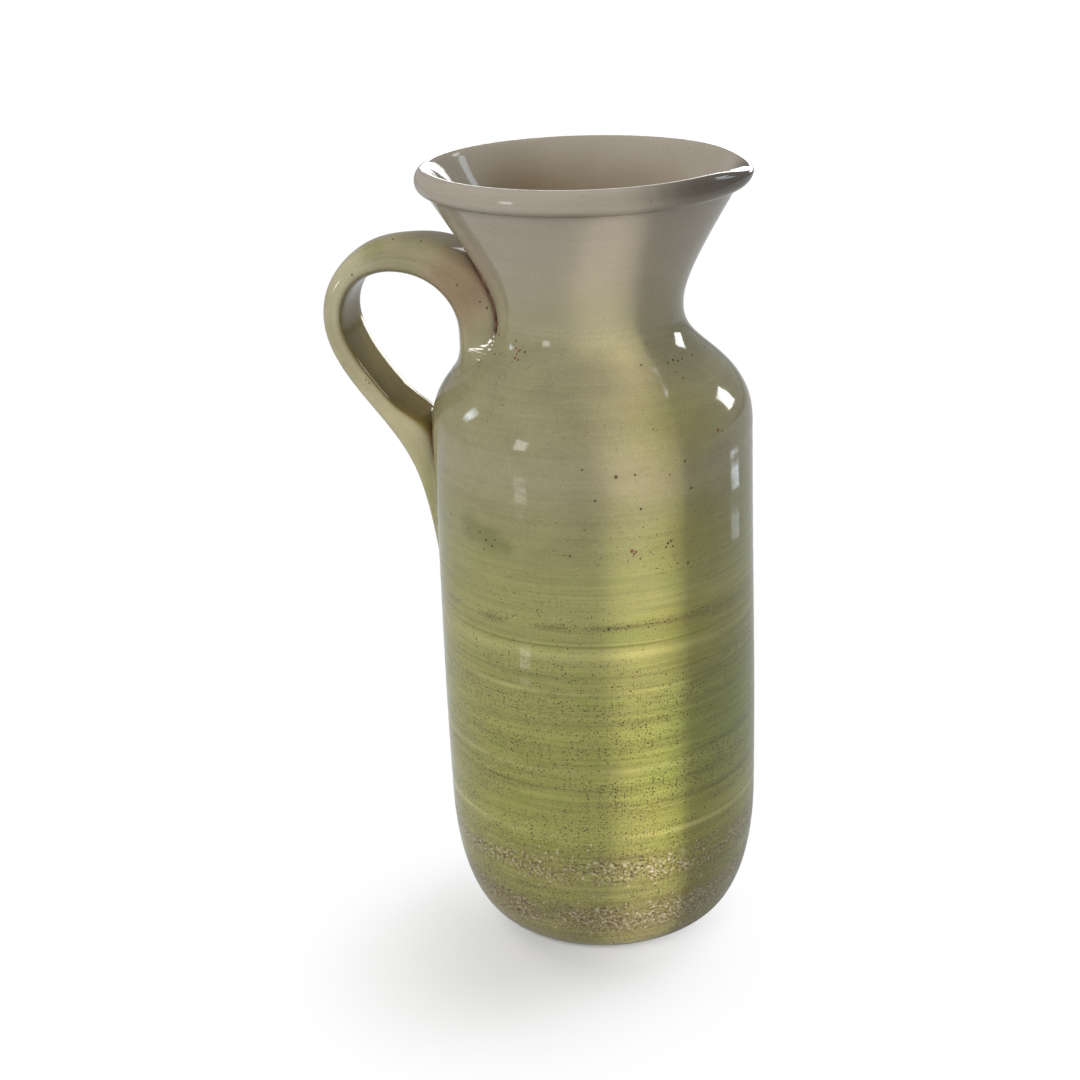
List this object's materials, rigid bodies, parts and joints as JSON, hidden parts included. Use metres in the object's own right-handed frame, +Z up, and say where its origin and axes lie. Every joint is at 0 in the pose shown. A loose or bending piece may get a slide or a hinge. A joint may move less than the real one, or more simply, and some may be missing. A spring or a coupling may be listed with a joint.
{
  "type": "jug",
  "caption": "Tall glazed pottery jug with an upright body, narrow waist, flared collar, rolled rim with a pinched pouring lip, and a strap handle.",
  "frame": {"origin": "centre of the flat foot, on the surface that the jug stands on", "axes": "+Z up along the thrown axis, +X towards the pouring lip, the handle on the -X side"},
  "size_m": [0.1507, 0.112, 0.28],
  "materials": {
    "green_glaze": "glossy olive-green glaze with brown specks",
    "grey_glaze": "glossy grey-beige glaze",
    "handle_glaze": "glossy beige to olive glaze",
    "fired_slip": "fired joining clay, brown where the glaze is thin"
  },
  "bodies": {
    "root": {"body": "green_glaze", "waist_slip": "fired_slip", "collar": "grey_glaze", "upper_slip": "fired_slip", "lower_slip": "fired_slip", "handle": "handle_glaze"}
  },
  "joints": []
}
